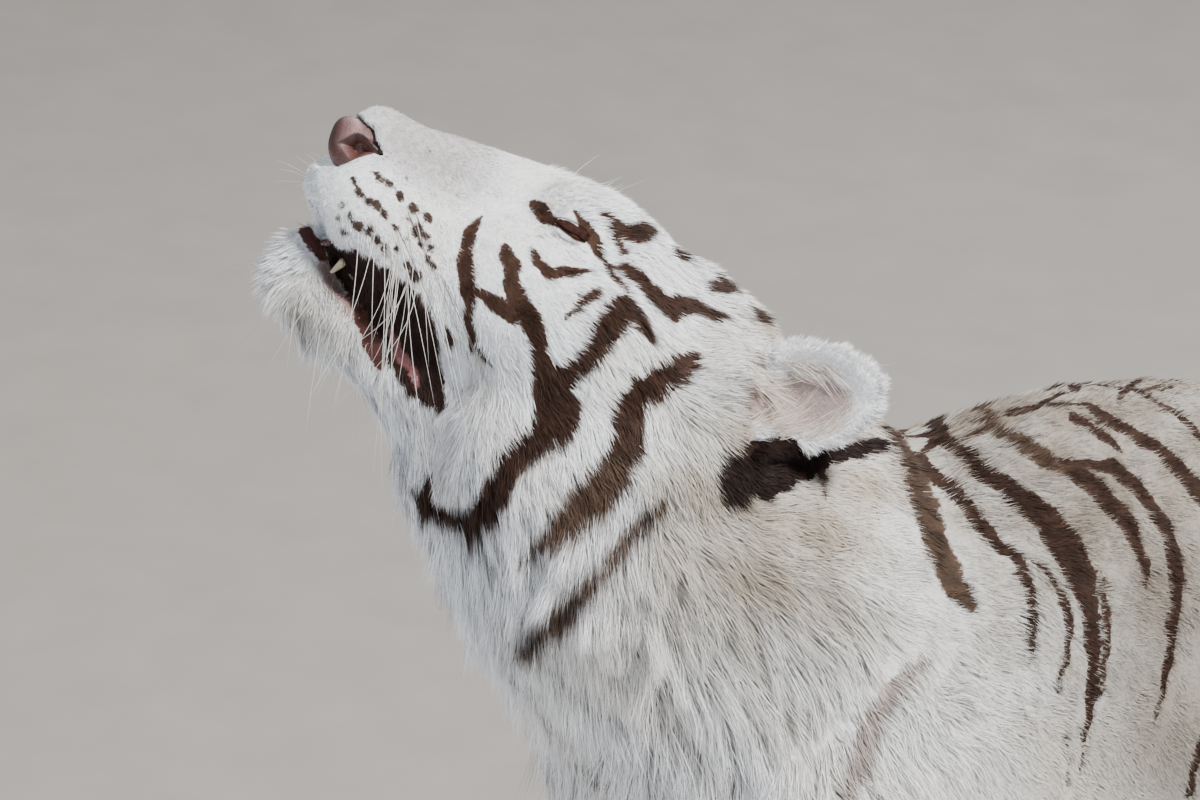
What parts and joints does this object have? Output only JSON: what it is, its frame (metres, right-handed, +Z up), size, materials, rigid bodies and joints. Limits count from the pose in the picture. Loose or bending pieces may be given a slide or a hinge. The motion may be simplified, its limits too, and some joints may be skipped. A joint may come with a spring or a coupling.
{
  "type": "white tiger",
  "caption": "Life-size standing white tiger with dark stripes, head raised and turned, jaws slightly parted, tail hanging with its tip curled up",
  "frame": {"origin": "bottom centre of the bounding box, on the floor the paws stand on", "axes": "+Z up; the body lies along Y with the head towards -Y and the tail towards +Y; +X is the animal's left side"},
  "size_m": [0.4306, 2.1552, 1.1789],
  "materials": {
    "white_coat": "deep soft fur, white with dark brown stripes",
    "ear_coat": "short fur, pale inside and dark behind",
    "nose_skin": "moist pebbled skin",
    "eye_amber": "wet and glossy",
    "tooth": "satin enamel",
    "claw_horn": "dull horn"
  },
  "bodies": {
    "root": {"belly": "white_coat", "canine_lower_left": "tooth", "canine_lower_right": "tooth", "canine_upper_left": "tooth", "canine_upper_right": "tooth", "chest": "white_coat", "claw_fore_left_1": "claw_horn", "claw_fore_left_2": "claw_horn", "claw_fore_left_3": "claw_horn", "claw_fore_left_4": "claw_horn", "claw_fore_right_1": "claw_horn", "claw_fore_right_2": "claw_horn", "claw_fore_right_3": "claw_horn", "claw_fore_right_4": "claw_horn", "claw_hind_left_1": "claw_horn", "claw_hind_left_2": "claw_horn", "claw_hind_left_3": "claw_horn", "claw_hind_left_4": "claw_horn", "claw_hind_right_1": "claw_horn", "claw_hind_right_2": "claw_horn", "claw_hind_right_3": "claw_horn", "claw_hind_right_4": "claw_horn", "ear_left": "ear_coat", "ear_right": "ear_coat", "eye_left": "eye_amber", "eye_right": "eye_amber", "forearm_left": "white_coat", "forearm_right": "white_coat", "forepaw_left": "white_coat", "forepaw_right": "white_coat", "head": "white_coat", "hind_cannon_left": "white_coat", "hind_cannon_right": "white_coat", "hindpaw_left": "white_coat", "hindpaw_right": "white_coat", "hips": "white_coat", "lower_jaw": "white_coat", "neck": "white_coat", "nose": "nose_skin", "shank_left": "white_coat", "shank_right": "white_coat", "shoulder_left": "white_coat", "shoulder_right": "white_coat", "tail_middle": "white_coat", "tail_root": "white_coat", "tail_tip": "white_coat", "thigh_left": "white_coat", "thigh_right": "white_coat"}
  },
  "joints": []
}
